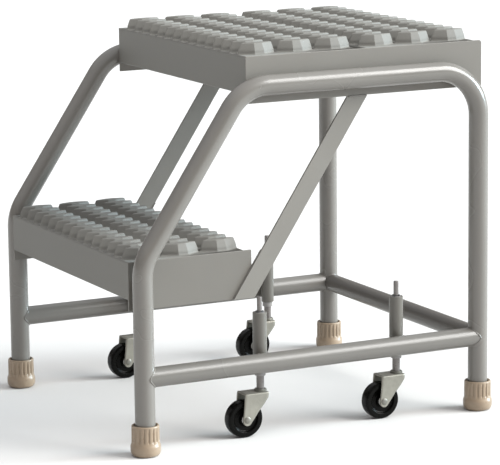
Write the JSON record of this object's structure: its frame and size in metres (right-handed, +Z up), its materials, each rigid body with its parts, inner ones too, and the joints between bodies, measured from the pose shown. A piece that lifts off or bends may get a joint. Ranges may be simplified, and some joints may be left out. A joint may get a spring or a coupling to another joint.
{
  "type": "rolling kick step stool",
  "caption": "Welded tube step stool with serrated treads, rubber tips and spring-loaded swivel casters that retract when someone steps on.",
  "frame": {"origin": "middle of the footprint, on the floor under the wheels", "axes": "+Z up, +X across the steps towards the climber's right, +Y the way the climber faces, towards the rear legs"},
  "size_m": [0.4756, 0.5474, 0.5286],
  "materials": {
    "frame_paint": "satin grey powder coat",
    "step_paint": "satin grey powder coat",
    "tip_rubber": "matte beige rubber",
    "washer_steel": "zinc plated",
    "bushing_plastic": "moulded nylon",
    "spring_steel": "bright drawn wire",
    "stem_steel": "zinc plated, turned",
    "clip_steel": "blackened",
    "fork_zinc": "dull zinc plated pressing",
    "wheel_rubber": "moulded black, slightly glossy"
  },
  "bodies": {
    "frame": {"side_frame_left": "frame_paint", "side_frame_right": "frame_paint", "side_rail_left": "frame_paint", "side_rail_right": "frame_paint", "rear_cross_rail": "frame_paint", "top_end_plate_left": "step_paint", "top_end_plate_right": "step_paint", "lower_end_plate_left": "step_paint", "lower_end_plate_right": "step_paint", "top_plank_front": "step_paint", "top_plank_rear": "step_paint", "lower_plank": "step_paint", "brace_left": "frame_paint", "brace_right": "frame_paint", "leg_spacers": "frame_paint", "tip_front_left": "tip_rubber", "tip_front_right": "tip_rubber", "tip_rear_left": "tip_rubber", "tip_rear_right": "tip_rubber", "tip_washers": "washer_steel", "upper_bushings": "bushing_plastic", "lower_bushings": "bushing_plastic", "sleeve_front_left": "frame_paint", "spring_front_left": "spring_steel", "sleeve_front_right": "frame_paint", "spring_front_right": "spring_steel", "sleeve_rear_left": "frame_paint", "spring_rear_left": "spring_steel", "sleeve_rear_right": "frame_paint", "spring_rear_right": "spring_steel"},
    "stem_front_left": {"stem_front_left": "stem_steel", "clip_front_left": "clip_steel", "race_front_left": "stem_steel"},
    "fork_front_left": {"fork_front_left": "fork_zinc", "axle_front_left": "stem_steel", "axle_tube_front_left": "stem_steel"},
    "wheel_front_left": {"wheel_front_left": "wheel_rubber"},
    "stem_front_right": {"stem_front_right": "stem_steel", "clip_front_right": "clip_steel", "race_front_right": "stem_steel"},
    "fork_front_right": {"fork_front_right": "fork_zinc", "axle_front_right": "stem_steel", "axle_tube_front_right": "stem_steel"},
    "wheel_front_right": {"wheel_front_right": "wheel_rubber"},
    "stem_rear_left": {"stem_rear_left": "stem_steel", "clip_rear_left": "clip_steel", "race_rear_left": "stem_steel"},
    "fork_rear_left": {"fork_rear_left": "fork_zinc", "axle_rear_left": "stem_steel", "axle_tube_rear_left": "stem_steel"},
    "wheel_rear_left": {"wheel_rear_left": "wheel_rubber"},
    "stem_rear_right": {"stem_rear_right": "stem_steel", "clip_rear_right": "clip_steel", "race_rear_right": "stem_steel"},
    "fork_rear_right": {"fork_rear_right": "fork_zinc", "axle_rear_right": "stem_steel", "axle_tube_rear_right": "stem_steel"},
    "wheel_rear_right": {"wheel_rear_right": "wheel_rubber"}
  },
  "joints": [
    {"name": "front_left_stem_slide", "type": "slide", "parent": "frame", "child": "stem_front_left", "axis": [0, 0, 1], "range_m": [0, 0.01], "stiffness_N_per_m": 3000, "springref_m": -0.03, "deforming": ["spring_front_left"]},
    {"name": "front_left_swivel", "type": "hinge", "parent": "stem_front_left", "child": "fork_front_left", "pos_m": [-0.1948, -0.073, 0.06], "axis": [0, 0, 1], "continuous": true},
    {"name": "front_left_wheel_spin", "type": "hinge", "parent": "fork_front_left", "child": "wheel_front_left", "pos_m": [-0.1948, -0.0988, 0.0254], "axis": [1, 0, 0], "continuous": true},
    {"name": "front_right_stem_slide", "type": "slide", "parent": "frame", "child": "stem_front_right", "axis": [0, 0, 1], "range_m": [0, 0.01], "stiffness_N_per_m": 3000, "springref_m": -0.03, "deforming": ["spring_front_right"]},
    {"name": "front_right_swivel", "type": "hinge", "parent": "stem_front_right", "child": "fork_front_right", "pos_m": [0.1948, -0.073, 0.06], "axis": [0, 0, 1], "continuous": true},
    {"name": "front_right_wheel_spin", "type": "hinge", "parent": "fork_front_right", "child": "wheel_front_right", "pos_m": [0.1948, -0.0988, 0.0254], "axis": [1, 0, 0], "continuous": true},
    {"name": "rear_left_stem_slide", "type": "slide", "parent": "frame", "child": "stem_rear_left", "axis": [0, 0, 1], "range_m": [0, 0.01], "stiffness_N_per_m": 3000, "springref_m": -0.03, "deforming": ["spring_rear_left"]},
    {"name": "rear_left_swivel", "type": "hinge", "parent": "stem_rear_left", "child": "fork_rear_left", "pos_m": [-0.1948, 0.1367, 0.06], "axis": [0, 0, 1], "continuous": true},
    {"name": "rear_left_wheel_spin", "type": "hinge", "parent": "fork_rear_left", "child": "wheel_rear_left", "pos_m": [-0.1948, 0.1109, 0.0254], "axis": [1, 0, 0], "continuous": true},
    {"name": "rear_right_stem_slide", "type": "slide", "parent": "frame", "child": "stem_rear_right", "axis": [0, 0, 1], "range_m": [0, 0.01], "stiffness_N_per_m": 3000, "springref_m": -0.03, "deforming": ["spring_rear_right"]},
    {"name": "rear_right_swivel", "type": "hinge", "parent": "stem_rear_right", "child": "fork_rear_right", "pos_m": [0.1948, 0.1367, 0.06], "axis": [0, 0, 1], "continuous": true},
    {"name": "rear_right_wheel_spin", "type": "hinge", "parent": "fork_rear_right", "child": "wheel_rear_right", "pos_m": [0.1948, 0.1109, 0.0254], "axis": [1, 0, 0], "continuous": true}
  ]
}
